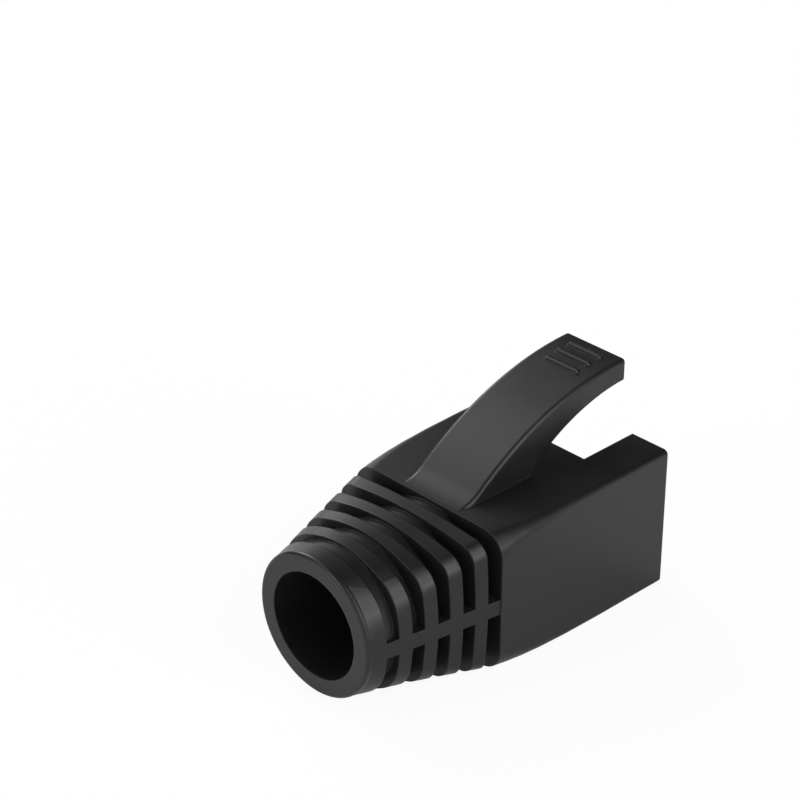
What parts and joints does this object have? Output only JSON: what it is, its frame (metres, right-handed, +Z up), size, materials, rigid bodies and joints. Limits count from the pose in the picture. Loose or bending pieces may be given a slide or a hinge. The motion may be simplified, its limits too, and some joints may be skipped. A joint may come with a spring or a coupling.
{
  "type": "cable strain relief boot",
  "caption": "Soft moulded boot for a modular data plug: ribbed cable sleeve, square plug hood and an arched guard over the latch.",
  "frame": {"origin": "centre of the cable bore at the collar's end face", "axes": "+X along the cable bore towards the plug mouth, +Z up towards the latch guard, +Y across"},
  "size_m": [0.0242, 0.0126, 0.0149],
  "materials": {
    "boot_plastic": "satin black soft moulded plastic"
  },
  "bodies": {
    "root": {"strain_relief_boot": "boot_plastic"}
  },
  "joints": []
}
